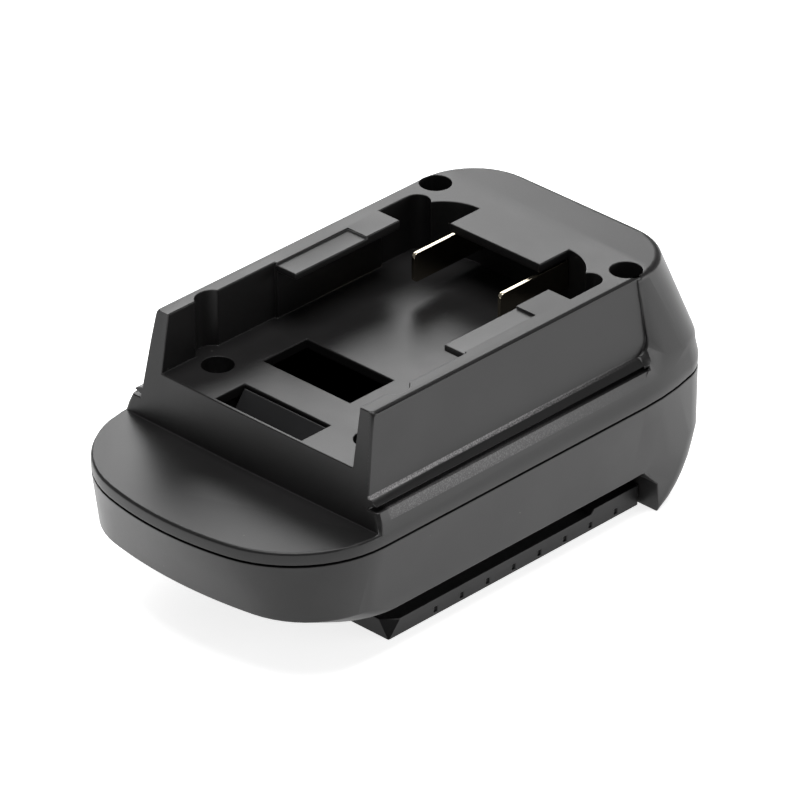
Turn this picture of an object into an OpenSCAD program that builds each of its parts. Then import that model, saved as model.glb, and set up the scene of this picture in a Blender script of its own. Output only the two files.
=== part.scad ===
/* [Body] */
// Overall length, front flange to rear face
body_len = 122; // [120:0.5:126]
// Overall width at the seam
body_w = 68.8; // [68:0.2:71]
// Overall height, underside of the rails to the wall tops
body_h = 52.2; // [51.4:0.2:54]
// Height of the seam between the two shells
seam_z = 26.8; // [26.4:0.1:27.2]
// Height of the shadow groove round the seam
seam_groove = 0.4; // [0.2:0.1:0.6]
// Length of the front flange ahead of the bay walls
flange_len = 27.5; // [26:0.5:29]
// Thickness of the front flange above the seam
flange_t = 2.7; // [2.4:0.1:3]
// Height of the shoulder's outer edge above the seam
shoulder_h = 4.5; // [4.2:0.1:4.8]
// Bow radius of the flange's front edge
front_bow = 70; // [62:1:90]
// Corner radius of the front flange
front_corner = 24; // [20:1:26]
// Corner radius of the rear end at the seam
rear_corner = 12; // [10:0.5:13]
// Moulded wall thickness
wall = 2.4; // [2.1:0.1:2.7]

/* [Battery bay] */
// Clear width between the bay walls
bay_w = 50.9; // [49.9:0.1:51.5]
// Depth of the bay floor below the wall tops
bay_depth = 12.2; // [11.8:0.1:12.6]
// Length of the bay, wall fronts to back wall
bay_len = 72.1; // [71.4:0.1:72.8]
// Thickness of the bay floor
floor_t = 2.2; // [1.9:0.1:2.5]
// Width across the flat wall tops
top_w = 56.4; // [55.8:0.1:57.4]
// Backward lean of the front face, flange to wall tops
front_lean = 3.75; // [3:0.25:4.5]
// Clear width between the two ledges
ledge_gap = 39.5; // [38:0.5:41]
// Distance of the ledges behind the wall fronts
ledge_y = 28.9; // [28.3:0.1:30]
// Length of the ledges
ledge_len = 29; // [27:0.5:30]
// Thickness of the ledges and the bridge
roof_t = 1.9; // [1.6:0.1:2.1]
// Width of the bridge over the back of the bay
bridge_w = 24; // [23:0.5:24.5]
// Distance of the bridge's front edge behind the wall fronts
bridge_y = 63.7; // [62.5:0.1:65]
// Width of the catch slot in the bay floor
slot_w = 22.8; // [21.5:0.1:23]
// Length of the catch slot
slot_len = 7.75; // [7.5:0.05:7.9]
// Distance of the catch slot ahead of the wall fronts
slot_lead = 1.2; // [1:0.1:1.4]
// Width of the window in the bay floor
window_w = 23.2; // [20:0.2:24]
// Length of the window
window_len = 11.9; // [10:0.1:12.5]
// Distance of the window behind the wall fronts
window_y = 15.3; // [14.6:0.1:16]
// Sideways shift of the window from the centre line
window_shift = -3.5; // [-4:0.5:0]

/* [Battery blades] */
// Thickness of a blade
blade_t = 0.8; // [0.6:0.1:1]
// Height of a blade
blade_h = 6.3; // [5.8:0.1:6.5]
// Distance between the two blades
blade_pitch = 23; // [21:0.5:24]
// Distance of the blade tips behind the wall fronts
blade_tip = 52.9; // [50:0.1:56]
// Depth of the blades' top edge below the wall tops
blade_drop = 2.4; // [2.3:0.1:2.8]

/* [Slide foot] */
// Height of the body's underside above the rails' underside
base_z = 10.7; // [10.4:0.1:11]
// Width across the two rails
rail_span = 56; // [54:0.5:58]
// Height of a rail
rail_h = 3.5; // [3.2:0.1:3.7]
// Distance of the rails' front ends behind the wall fronts
rail_y = 5.2; // [4.6:0.1:6]
// Width of the neck above the rails
neck_w = 45; // [44:0.5:47]
// Clear width between the rails
channel_w = 29; // [28:0.5:29.5]
// Depth of the chin, rear face to front face
chin_len = 18.5; // [18:0.1:19]
// Number of tick notches along each rail
tick_count = 8; // [4:1:8]
// Distance from one tick notch to the next
tick_pitch = 7.26; // [6:0.02:7.3]
// Distance between the two tool contacts
contact_pitch = 15; // [14:0.5:16]

/* [Fasteners] */
// Radius of a housing screw's shank
screw_r = 1.5; // [1.3:0.1:1.6]
// Radius of a housing screw's head
screw_head_r = 2.8; // [2.6:0.1:2.9]
// Length of a housing screw under the head
screw_len = 15; // [13:0.5:16]
// Radius of the counterbores over the housing screws
bore_r = 3.2; // [3.1:0.05:3.4]
// Sideways distance of the front housing screws from the centre line
front_screw_x = 20.4; // [20:0.1:20.6]
// Distance of the front housing screws behind the wall fronts
front_screw_y = 8.2; // [8.1:0.1:9]
// Sideways distance of the rear housing screws from the centre line
rear_screw_x = 25.4; // [25:0.1:25.6]
// Distance of the rear housing screws behind the wall fronts
rear_screw_y = 73.8; // [73.6:0.1:74.4]
// Radius of a small screw's shank
small_r = 0.9; // [0.7:0.1:1]
// Radius of a small screw's head
small_head_r = 1.7; // [1.5:0.1:1.8]

/* [Latch] */
// Upward travel of the latch
latch_travel = 4.5; // [3.5:0.5:5]
// Width of the hook
hook_w = 16; // [13:0.5:17]
// Length of the hook along the foot
hook_len = 6; // [5:0.5:6.5]
// Width of the release button
button_w = 30; // [26:1:32]
// Height of the release button
button_h = 10.7; // [9:0.1:11]
// Radius of a latch spring's coil at the wire's centre
spring_r = 2.2; // [2:0.1:2.4]
// Radius of the spring wire
wire_r = 0.35; // [0.25:0.05:0.4]
// Turns of a latch spring
spring_turns = 6; // [4:1:7]

/* [Leads] */
// Radius of an insulated lead
lead_r = 1.25; // [1:0.05:1.3]

/* [Hidden] */
$fn = 48;

// Colours as the photo shows them
shell_colour = [0.13, 0.13, 0.14];
inner_colour = [0.2, 0.2, 0.21];
plated_colour = [0.86, 0.83, 0.74];
steel_colour = [0.6, 0.6, 0.62];

// Clearances: cuts past a face, loose fits, sliding fits and screw fits
over = 1;
skin = 0.02;
play = 0.1;
slide_gap = 0.4;
pilot_gap = 0.05;

// Main stations along the length and up the height
front_y = -body_len / 2;
rear_y = body_len / 2;
bay_y = front_y + flange_len;
half_w = body_w / 2;
floor_z = body_h - bay_depth;
under_z = floor_z - floor_t;
roof_z = body_h - roof_t;
flange_z = seam_z + flange_t;
shoulder_z = seam_z + shoulder_h;
base_roof_z = shoulder_z - wall;
chin_y = rear_y - chin_len;

// A station that lies d behind the fronts of the bay walls
function back(d) = bay_y + d;
// The leaning front plane of the block at height z
function lean_y(z) = bay_y - front_lean * (body_h - z) / (body_h - flange_z);

// Outline shape: nearly straight fronts, tapered tail and the number of flats on an arc
flat_bow = 2000;
block_corner = 1;
tail = 1.7;
tail_len = 24.5;
tail_steps = 3;
bow_steps = 8;
corner_steps = 12;

function arc(c, r, a0, a1, n, first = 0) =
    [for (i = [first:n]) let (a = a0 + (a1 - a0) * i / n) c + r * [cos(a), sin(a)]];

// Right half of a plan outline from the front centre: bowed front, corner, side, curved tail
function half_plan(w, yf, rf, bow, yr, rr, taper) =
    let (bow_c = [0, yf + bow],
         front_c = [w - rf, bow_c[1] - sqrt(pow(bow - rf, 2) - pow(w - rf, 2))],
         a = atan2(front_c[1] - bow_c[1], front_c[0]),
         rear_c = [w - taper - rr, yr - rr],
         rear_a = atan(2 * taper / (tail_len - rr)),
         rear_p = rear_c + rr * [cos(rear_a), sin(rear_a)],
         side_y = max(front_c[1] + skin, yr - tail_len))
    concat(arc(bow_c, bow, -90, a, bow_steps),
           arc(front_c, rf, a, 0, corner_steps, 1),
           [[w, side_y]],
           [for (i = [1:taper > 0 ? tail_steps - 1 : 0]) let (t = i / tail_steps)
               [w - (w - rear_p[0]) * t * t, side_y + (rear_p[1] - side_y) * t]],
           arc(rear_c, rr, rear_a, 90, corner_steps));

function plan(half) =
    concat(half, [for (i = [len(half) - 1:-1:1]) [-half[i][0], half[i][1]]]);

// A body through level outlines, each [z, half width, front y, front r, bow, rear y, rear r, taper]
module loft(levels)
    hull()
        for (i = [0:len(levels) - 1])
            let (l = levels[i])
                translate([0, 0, l[0] - (i == 0 ? 0 : skin)])
                    linear_extrude(skin)
                        polygon(plan(half_plan(l[1], l[2], l[3], l[4], l[5], l[6], l[7])));

module block(x0, x1, y0, y1, z0, z1)
    translate([x0, y0, z0]) cube([x1 - x0, y1 - y0, z1 - z0]);

module post(p, r, z0, z1)
    translate([p[0], p[1], z0]) cylinder(r = r, h = z1 - z0);

// One copy on each side of the centre line
module both_sides() {
    children();
    mirror([1, 0, 0]) children();
}

// Housing screws: seat height, boss sizes and the four places
screw_seat_h = 5.2;
screw_seat_z = seam_z + screw_seat_h;
boss_z = base_roof_z;
boss_wall = 2;
boss_r = bore_r + boss_wall;
screw_head_h = 2.2;
screw_points = [for (s = [-1, 1], p = [[front_screw_x, front_screw_y], [rear_screw_x, rear_screw_y]])
    [s * p[0], back(p[1])]];

// A cross-head screw that stands on z = 0 with its shank below
module screw(r, length, head_r, head_h) {
    recess_w = head_r * 0.3;
    recess_l = head_r * 1.2;
    difference() {
        union() {
            cylinder(r = head_r, h = head_h);
            translate([0, 0, -length]) cylinder(r = r, h = length + skin);
        }
        for (a = [0, 90])
            rotate([0, 0, a])
                translate([-recess_l / 2, -recess_w / 2, head_h / 2]) cube([recess_l, recess_w, head_h]);
    }
}

small_head_h = 1.5;
small_pass_r = small_r + 2 * play;
small_pilot_r = small_r + pilot_gap;
small_boss_wall = 0.9;
small_boss_r = small_r + small_boss_wall;

// Small screws at the given points, heads up, or heads down when they are driven from below
module small_screws(points, seat_z, length, heads_up)
    for (p = points)
        translate([p[0], p[1], seat_z])
            mirror([0, 0, heads_up ? 0 : 1]) screw(small_r, length, small_head_r, small_head_h);

// Upper shell: edge radii, the knee above the shoulder and the recessed side panels
flange_edge = 0.6;
shoulder_draft = 0.6;
shoulder_rear_draft = 0.15;
shoulder_x = half_w - shoulder_draft;
knee_rise = 3;
knee_z = shoulder_z + knee_rise;
knee_out = 4.3;
knee_w = top_w / 2 + knee_out;
knee_corner = rear_corner + 0.3;
knee_set = 0.6;
top_edge = 1.1;
top_rear_edge = 2;
top_edge_h = 1.4;
top_rear_set = 6;
top_corner = rear_corner + 2;
panel_top_out = 0.8;
panel_top_x = top_w / 2 + panel_top_out;
panel_foot_out = 2.1;
panel_foot_x = top_w / 2 + panel_foot_out;
panel_rear = 0.7;
panel_end = rear_screw_y + panel_rear;
panel_corner = 3;
panel_lean = 1.7;
lip_out = 2.1;
lip_x = panel_foot_x + lip_out;
lip_h = 1.3;
lip_t = 0.3;
lip_set = 0.22;
strip_out = 0.5;
strip_x = lip_x + strip_out;
strip_drop = 1;
strip_z = knee_z - strip_drop;
groove_x = panel_foot_x + 2 * play;
groove_front = 0.8;
groove_rear = 1.6;

module upper_outside() {
    base_edge_z = flange_z - flange_edge;
    loft([for (k = [[0, 0], [flange_t - flange_edge, 0], [flange_t - flange_edge * 0.3, 0.3], [flange_t, 1]])
        let (e = flange_edge * k[1])
            [seam_z + k[0], half_w - e, front_y + e, front_corner - e, front_bow - e,
             rear_y - e, rear_corner - e, tail]]);
    loft([[base_edge_z, half_w, lean_y(base_edge_z), block_corner, flat_bow, rear_y, rear_corner, tail],
          shoulder_level(shoulder_z, shoulder_x, shoulder_rear_draft, tail)]);
    loft([shoulder_level(shoulder_z, shoulder_x, shoulder_rear_draft, tail),
          shoulder_level(strip_z, strip_x + skin, (shoulder_rear_draft + knee_set) / 2, tail / 2),
          knee_level()]);
    loft(concat([knee_level()], [for (a = [0, 30, 60, 90])
        [body_h - top_edge_h * (1 - sin(a)), top_w / 2 + top_edge * cos(a),
         lean_y(body_h - top_edge_h * (1 - sin(a))), block_corner, flat_bow,
         rear_y - top_rear_set - top_rear_edge * (1 - cos(a)), top_corner - top_edge * (1 - cos(a)), 0]]));
}

// Outline of the shoulder at one height: half width, rear set and narrowing of the tail
function shoulder_level(z, x, set, narrow) =
    [z, x, lean_y(z), block_corner, flat_bow, rear_y - set, rear_corner, narrow];

function knee_level() =
    [knee_z, knee_w, lean_y(knee_z), block_corner, flat_bow, rear_y - knee_set, knee_corner, tail / 3];

// Side panel with its flared lip, the steep shoulder strip and the dark groove between them
module panel_cut() {
    far_x = half_w + over;
    both_sides() {
        difference() {
            side_cut(front_y, back(panel_end),
                     [[panel_top_x, body_h + over], [panel_top_x, body_h - top_edge],
                      [panel_foot_x, knee_z + lip_h], [lip_x - lip_set, knee_z + lip_t],
                      [lip_x, knee_z - lip_t], [strip_x, strip_z], [shoulder_x, shoulder_z],
                      [far_x, shoulder_z], [far_x, body_h + over]]);
            panel_stop();
        }
        side_cut(back(groove_front) - front_lean, back(panel_end - groove_rear),
                 [[groove_x, knee_z - lip_t], [far_x, knee_z - lip_t], [far_x, shoulder_z],
                  [shoulder_x, shoulder_z], [strip_x, strip_z], [groove_x, strip_z]]);
    }
}

// What stands behind a side panel: its leaning rear edge with a round lower corner
module panel_stop() {
    foot_h = knee_z + lip_h;
    translate([0, back(panel_end - panel_corner), foot_h])
        rotate([90, 0, 90])
            linear_extrude(body_w)
                difference() {
                    polygon([[skin, shoulder_z - foot_h], [panel_corner + over, shoulder_z - foot_h],
                             [panel_corner + over, body_h - foot_h + 2 * over],
                             [panel_corner - panel_lean, body_h - foot_h + 2 * over],
                             [panel_corner, panel_corner], [skin, panel_corner]]);
                    translate([0, panel_corner]) circle(r = panel_corner);
                }
}

// A length along Y of a section drawn in X and Z
module side_cut(y0, y1, section)
    translate([0, y1, 0]) rotate([90, 0, 0]) linear_extrude(y1 - y0) polygon(section);

// Bay: plan of the hollow, the relief grooves beside the front screws and the ledge recesses
lobe_r = 2.6;
lobe_y = bay_len - 6.1;
scoop_r = 10.2;
relief_r = 3.4;
relief_in = 1.55;
relief_y = front_screw_y + 2.2;
pad_t = 0.8;
recess_t = 0.5;
recess_w = 5.3;
recess_len = 19.8;

module bay_plan() {
    translate([-bay_w / 2, front_y]) square([bay_w, back(lobe_y) - front_y]);
    translate([-bridge_w / 2, front_y]) square([bridge_w, back(bay_len) - front_y]);
    both_sides() {
        translate([bay_w / 2 - lobe_r, back(lobe_y)]) circle(r = lobe_r);
        translate([bridge_w / 2, back(bay_len) - scoop_r]) circle(r = scoop_r);
    }
}

module ledge_plan(inner)
    both_sides()
        translate([inner, back(ledge_y)]) square([half_w - inner, ledge_len]);

module bay() {
    translate([0, 0, floor_z])
        linear_extrude(roof_z - floor_z)
            difference() {
                bay_plan();
                ledge_plan(bay_w / 2 - pad_t);
            }
    translate([0, 0, roof_z - over])
        linear_extrude(roof_t + 2 * over)
            difference() {
                bay_plan();
                ledge_plan(ledge_gap / 2);
                translate([-bridge_w / 2, back(bridge_y)]) square([bridge_w, body_len]);
            }
    both_sides() {
        post([bay_w / 2 - relief_in, back(relief_y)], relief_r, floor_z, body_h + over);
        block(ledge_gap / 2 - over, ledge_gap / 2 + recess_w, back(ledge_y) - over,
              back(ledge_y) + recess_len, body_h - recess_t, body_h + over);
    }
}

// Hollows of the upper shell: base, block and the terminal room behind the bay
back_wall = 1.9;
room_w = 36;
room_len = 10.6;
room_y = bay_len + back_wall;
base_in = wall + 0.6;
block_in = 1.7;
hollow_rear = 5;
hollow_corner = rear_corner - 2;
slot_depth = 7;
bracket_boss = [slot_w / 2 + 2, slot_len - slot_lead - 3.1];
carrier_boss_x = 4.5;
carrier_boss_in = 7.5;
carrier_boss = [carrier_boss_x, room_y + carrier_boss_in];
bracket_drop = 5.8;
bracket_z = under_z - bracket_drop;
plate_t = 2;
ear_drop = 1.8;
ear_z = roof_z - ear_drop;
ear_t = 2;
ear_edge = 2;

module upper_hollow()
    difference() {
        union() {
            translate([0, 0, seam_z - over])
                linear_extrude(base_roof_z - seam_z + over)
                    polygon(plan(half_plan(half_w - base_in, bay_y, block_corner, flat_bow,
                                           rear_y - base_in, rear_corner - wall, tail)));
            translate([0, 0, base_roof_z - over])
                linear_extrude(under_z - base_roof_z + over)
                    polygon(plan(half_plan(top_w / 2 - block_in, bay_y, block_corner, flat_bow,
                                           rear_y - hollow_rear, hollow_corner, 0)));
            block(-room_w / 2, room_w / 2, back(room_y), back(room_y + room_len), under_z - over, roof_z);
        }
        for (p = screw_points) post(p, boss_r, boss_z, body_h);
        both_sides() {
            post([bracket_boss[0], back(bracket_boss[1])], small_boss_r, bracket_z, body_h);
            post([carrier_boss[0], back(carrier_boss[1])], small_boss_r, ear_z, body_h);
        }
    }

// Blades: shared sizes of the blades and the slots that hold them
blade_x = blade_pitch / 2;
blade_top = body_h - blade_drop;
blade_low = blade_top - blade_h;
carrier_len = 5;
blade_tail = 3;
blade_end = room_y + carrier_len + blade_tail;
blade_step = blade_h * 0.15;

module blade_slots(y0, y1)
    both_sides()
        block(blade_x - blade_t / 2 - play, blade_x + blade_t / 2 + play, y0, y1,
              blade_low - play, blade_top + play);

module upper_shell()
    color(shell_colour)
        difference() {
            upper_outside();
            panel_cut();
            bay();
            upper_hollow();
            block(-slot_w / 2, slot_w / 2, back(-slot_lead), back(slot_len - slot_lead),
                  floor_z - slot_depth, floor_z + over);
            block(window_shift - window_w / 2, window_shift + window_w / 2, back(window_y),
                  back(window_y + window_len), under_z - over, floor_z + over);
            blade_slots(back(bay_len) - over, back(room_y) + over);
            for (p = screw_points) {
                post(p, bore_r, screw_seat_z, body_h + over);
                post(p, screw_r + 2 * play, boss_z - over, screw_seat_z + over);
            }
            both_sides() {
                post([bracket_boss[0], back(bracket_boss[1])], small_pilot_r, bracket_z - over,
                     under_z - small_r);
                post([carrier_boss[0], back(carrier_boss[1])], small_pilot_r, ear_z - over,
                     roof_z + small_r);
            }
        }

// Lower shell: the swept rear, the lifted front edge, the neck and the hollow
sweep = 20;
sweep_z = 22;
sweep_h = 23.5;
tip_corner = 8.6;
base_draft = 1.35;
edge_lift = 2.9;
edge_set = 4;
keel_set = 10.5;
keel_bow = 100;
keel_corner = 18;
chin_step = 4.1;
chin_lean = 0.4;
chin_back = 12;
tray_z = base_z + wall - 0.2;
tray_front = 19;
tray_in = wall + 0.7;
tray_rear = chin_y + 4;
tray_corner = 4;
neck_room_w = channel_w + 2;
neck_floor_z = rail_h + 3.7;
channel_z = rail_h + 1.5;
neck_wall = 2.3;
contact_x = contact_pitch / 2;

function rear_set(z) = z > sweep_z ? 0 : sweep * (1 - sqrt(1 - pow((sweep_z - z) / sweep_h, 2)));
function low_corner(z) = tip_corner + (rear_corner - tip_corner) * pow(min(1, z / sweep_z), 3);
function low_tail(z) = tail * min(1, z / sweep_z);

module lower_outside() {
    rim_z = seam_z - seam_groove;
    edge_z = base_z + edge_lift;
    chin_levels = [0, base_z / 6, base_z / 3, base_z / 2, base_z * 0.75, base_z + skin];
    loft([for (k = [[base_z, base_draft, keel_set, keel_corner, keel_bow],
                    [edge_z, base_draft * 0.8, edge_set, keel_corner, keel_bow],
                    [sweep_z, base_draft * 0.25, edge_set * 0.35, front_corner * 0.9, front_bow],
                    [rim_z, 0, 0, front_corner, front_bow]])
        [k[0], half_w - k[1], front_y + k[2], k[3], k[4],
         rear_y - rear_set(k[0]), low_corner(k[0]), low_tail(k[0])]]);
    intersection() {
        loft([for (z = chin_levels)
            [z, half_w - base_draft, chin_y - chin_back, block_corner, flat_bow,
             rear_y - rear_set(z), low_corner(z), low_tail(z)]]);
        translate([-half_w, 0, 0])
            rotate([90, 0, 90])
                linear_extrude(body_w)
                    polygon([[chin_y, -over], [chin_y - chin_lean, base_z - chin_step],
                             [chin_y - chin_lean - chin_step, base_z],
                             [chin_y - chin_lean - chin_step, body_h],
                             [rear_y + over, body_h], [rear_y + over, -over]]);
    }
    translate([0, 0, rim_z - over])
        linear_extrude(seam_groove + over)
            polygon(plan(half_plan(half_w - 2 * seam_groove, front_y + 2 * seam_groove, front_corner,
                                   front_bow, rear_y - 2 * seam_groove, rear_corner, tail)));
    block(-neck_w / 2, neck_w / 2, back(rail_y), chin_y + over, rail_h, base_z + over);
}

// Latch places: hook, arm, button pocket, springs and the retainer over them
hook_gap = 3.5;
hook_y = chin_y - hook_len - hook_gap;
hook_mid = hook_y + hook_len / 2;
hook_low = 0.4;
arm_w = 12;
arm_low = base_z - 1.2;
arm_h = 4;
pin_r = arm_h * 0.35;
cross_z = tray_z + play;
cross_h = 3;
cross_w = 27;
spring_x = 10;
spring_low = cross_z + cross_h;
spring_len = 10;
retainer_z = spring_low + spring_len;
retainer_t = 2;
retainer_w = 40;
retainer_len = 9;
retainer_boss_x = 17;
retainer_screw_len = 8;
peg_h = 1.5;
peg_gap = 0.5;
peg_r = spring_r - wire_r - 0.45;
pocket_deep = 10.5;
pocket_y = rear_y - pocket_deep;
pocket_drop = 3.2;
pocket_low = base_z - pocket_drop;
button_gap = 0.8;
button_low = pocket_low + button_gap;
button_y = pocket_y + slide_gap;
button_t = 3;
pocket_top = button_low + button_h + latch_travel + slide_gap;
retainer_boss_r = small_r + 1.9;

module latch_room() {
    block(-hook_w / 2 - slide_gap, hook_w / 2 + slide_gap, hook_y - slide_gap, hook_y + hook_len + slide_gap,
          -over, tray_z + over);
    block(-arm_w / 2 - slide_gap, arm_w / 2 + slide_gap, hook_mid, pocket_y + over,
          arm_low - slide_gap, arm_low + arm_h + latch_travel + slide_gap);
    block(-button_w / 2 - slide_gap, button_w / 2 + slide_gap, pocket_y, rear_y + over,
          pocket_low, pocket_top);
}

// Tool contacts and the holder that clamps them
holder_set = 5.8;
holder_y = rail_y + holder_set;
holder_len = 11;
holder_h = 8.8;
holder_top = neck_floor_z + holder_h;
holder_ear_t = 2;
holder_boss_x = channel_w / 2 - 1.3;
contact_h = 4.6;
contact_y = rail_y + neck_wall + 0.4;
contact_len = 12;
contact_out = 1.6;
contact_cap = 0.6;
clip_t = 0.5;
tail_h = 2.5;
contact_tail = 6;
contact_low = neck_floor_z + play;
holder_mid = holder_y + holder_len / 2;
holder_boss_top = holder_top - holder_ear_t;

module lower_shell()
    color(shell_colour)
        difference() {
            union() {
                difference() {
                    lower_outside();
                    translate([0, 0, tray_z])
                        linear_extrude(seam_z)
                            polygon(plan(half_plan(half_w - tray_in, bay_y - tray_front,
                                                   keel_corner - wall, keel_bow, tray_rear,
                                                   tray_corner, 0)));
                    block(-neck_room_w / 2, neck_room_w / 2, back(rail_y + neck_wall), hook_y - neck_wall,
                          neck_floor_z, tray_z + over);
                }
                for (p = screw_points) post(p, boss_r - 1.2, tray_z - skin, boss_z);
                both_sides() {
                    post([retainer_boss_x, hook_mid], retainer_boss_r, tray_z - skin, retainer_z);
                    post([holder_boss_x, back(holder_mid)], small_boss_r, neck_floor_z - skin,
                         holder_boss_top);
                }
            }
            block(-channel_w / 2, channel_w / 2, back(rail_y) - over, hook_y - neck_wall, -over, channel_z);
            latch_room();
            for (p = screw_points)
                post(p, screw_r + pilot_gap, screw_seat_z - screw_len - over, boss_z + over);
            for (p = rail_screw_points) post(p, small_pilot_r, rail_h - over, base_z);
            both_sides() {
                post([retainer_boss_x, hook_mid], small_pilot_r, tray_z + over, retainer_z + over);
                post([holder_boss_x, back(holder_mid)], small_pilot_r, neck_floor_z + over / 2,
                     holder_boss_top + over);
                block(contact_x - contact_out / 2, contact_x + contact_out / 2, back(rail_y) - over,
                      back(contact_y), contact_low, base_z - contact_cap);
            }
        }

// Rails: chamfered front ends, a raised rear pad, tick notches and two screws each
rail_in = channel_w / 2;
rail_out = rail_span / 2;
rail_nose = 3.3;
rail_lean = 0.3;
rail_bevel = 32;
rail_pad = 0.9;
rail_pad_len = 12.7;
tick_w = 0.9;
tick_deep = 0.6;
tick_low = 0.5;
tick_h = 1.2;
tick_y = 13;
rail_seat = 1.8;
rail_screw_x = (rail_in + neck_w / 2) / 2;
rail_end = chin_y - chin_lean - play;
rail_screw_front = 12;
rail_screw_rear = 16;
rail_screw_points = [for (s = [-1, 1], y = [back(rail_y) + rail_screw_front, rail_end - rail_screw_rear])
    [s * rail_screw_x, y]];

module rail()
    difference() {
        union() {
            translate([rail_in, 0, 0])
                rotate([90, 0, 90])
                    linear_extrude(rail_out - rail_in)
                        polygon([[back(rail_y), 0], [rail_end, 0], [rail_end, rail_h],
                                 [back(rail_y) + rail_lean, rail_h]]);
            translate([neck_w / 2 + play, 0, 0])
                rotate([90, 0, 90])
                    linear_extrude(rail_out - neck_w / 2 - play)
                        polygon([[rail_end - rail_pad_len - rail_pad, rail_h - skin],
                                 [rail_end, rail_h - skin], [rail_end, rail_h + rail_pad],
                                 [rail_end - rail_pad_len, rail_h + rail_pad]]);
        }
        translate([rail_out, back(rail_y), 0])
            rotate([0, 0, 45])
                rotate([-rail_bevel, 0, 0])
                    translate([-2 * rail_nose, play - rail_nose, -over])
                        cube([4 * rail_nose, rail_nose, 3 * rail_h]);
        for (i = [0:tick_count - 1])
            let (y = back(rail_y) + tick_y + i * tick_pitch)
                block(rail_out - tick_deep, rail_out + over, y - tick_w / 2, y + tick_w / 2,
                      tick_low, tick_low + tick_h);
        for (p = rail_screw_points) {
            post(p, small_pass_r, -over, rail_h + over);
            post(p, small_head_r + 2 * play, -over, rail_seat);
        }
    }

module rail_right() color(shell_colour) rail();

module rail_left() color(shell_colour) mirror([1, 0, 0]) rail();

module housing_screws()
    color(steel_colour)
        for (p = screw_points)
            translate([p[0], p[1], screw_seat_z]) screw(screw_r, screw_len, screw_head_r, screw_head_h);

module rail_screws()
    color(steel_colour) small_screws(rail_screw_points, rail_seat, base_z - rail_seat - over, false);

// A blade for one side: round tip corners, and a lower tail behind its carrier
module blade(side) {
    tip_r = 1;
    color(plated_colour)
        translate([side * blade_x - blade_t / 2, 0, 0])
            rotate([90, 0, 90])
                linear_extrude(blade_t) {
                    translate([back(blade_tip) + tip_r, blade_low])
                        square([room_y + carrier_len - blade_tip - tip_r, blade_h]);
                    translate([back(blade_tip), blade_low + tip_r])
                        square([tip_r + skin, blade_h - 2 * tip_r]);
                    for (z = [blade_low + tip_r, blade_top - tip_r])
                        translate([back(blade_tip) + tip_r, z]) circle(r = tip_r);
                    translate([back(room_y + carrier_len) - skin, blade_low + blade_step])
                        square([blade_tail, blade_h - 2 * blade_step]);
                }
}

module positive_blade() blade(1);

module negative_blade() blade(-1);

module blade_carrier() {
    carrier_gap = 1.5;
    carrier_foot = 2;
    carrier_w = room_w - 2 * carrier_gap;
    color(inner_colour)
        difference() {
            union() {
                block(-carrier_w / 2, carrier_w / 2, back(room_y), back(room_y + carrier_len),
                      under_z + carrier_foot, roof_z - play);
                block(-carrier_boss[0] - ear_edge, carrier_boss[0] + ear_edge,
                      back(room_y + carrier_len) - skin, back(carrier_boss[1]) + ear_edge,
                      ear_z - ear_t, ear_z);
            }
            blade_slots(back(room_y) - over, back(room_y + carrier_len) + over);
            both_sides()
                post([carrier_boss[0], back(carrier_boss[1])], small_pass_r, ear_z - ear_t - over,
                     ear_z + over);
        }
}

module carrier_screws()
    color(steel_colour)
        small_screws([for (s = [-1, 1]) [s * carrier_boss[0], back(carrier_boss[1])]], ear_z - ear_t,
                     roof_z - ear_z + ear_t + small_r / 2, false);

// A spring clip that is folded round a tab, with a solder tail behind it
module receptacle(side) {
    neck_y = contact_len * 0.22;
    wide_y = contact_len * 0.75;
    pinch = 0.9;
    outer = [[-contact_out, 0], [-pinch, neck_y], [-contact_out, wide_y], [-contact_out, contact_len],
             [contact_out, contact_len], [contact_out, wide_y], [pinch, neck_y], [contact_out, 0]];
    inner = [[contact_out - clip_t, 0], [pinch - clip_t, neck_y], [contact_out - clip_t, wide_y],
             [contact_out - clip_t, contact_len - clip_t], [clip_t - contact_out, contact_len - clip_t],
             [clip_t - contact_out, wide_y], [clip_t - pinch, neck_y], [clip_t - contact_out, 0]];
    color(plated_colour)
        translate([side * contact_x, back(contact_y), contact_low]) {
            linear_extrude(contact_h) polygon(concat(outer, inner));
            block(-clip_t, clip_t, contact_len - skin, contact_len + contact_tail,
                  lead_z - contact_low - tail_h / 2, lead_z - contact_low + tail_h / 2);
        }
}

module positive_receptacle() receptacle(1);

module negative_receptacle() receptacle(-1);

module receptacle_holder() {
    holder_side = 1.2;
    holder_w = contact_pitch + 2 * (contact_out + holder_side);
    color(inner_colour)
        difference() {
            union() {
                block(-holder_w / 2, holder_w / 2, back(holder_y), back(holder_y + holder_len),
                      neck_floor_z, holder_top);
                block(-holder_boss_x - small_boss_r, holder_boss_x + small_boss_r,
                      back(holder_mid) - small_boss_r, back(holder_mid) + small_boss_r,
                      holder_boss_top, holder_top);
            }
            both_sides() {
                block(contact_x - contact_out - play, contact_x + contact_out + play,
                      back(holder_y) - over, back(holder_y + holder_len) + over,
                      neck_floor_z - over, contact_low + contact_h + play);
                post([holder_boss_x, back(holder_mid)], small_pass_r, holder_boss_top - over,
                     holder_top + over);
            }
        }
}

module receptacle_screws()
    color(steel_colour)
        small_screws([for (s = [-1, 1]) [s * holder_boss_x, back(holder_mid)]], holder_top,
                     holder_top - neck_floor_z - over, true);

// A round tube swept along points, built as triangles; ref is never in line with the path
function ring(points, i, r, sides, ref) =
    let (t = points[min(i + 1, len(points) - 1)] - points[max(i - 1, 0)],
         u = cross(t, ref) / norm(cross(t, ref)),
         v = cross(t, u) / norm(t))
    [for (j = [0:sides - 1]) points[i] + r * (cos(360 * j / sides) * u + sin(360 * j / sides) * v)];

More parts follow.
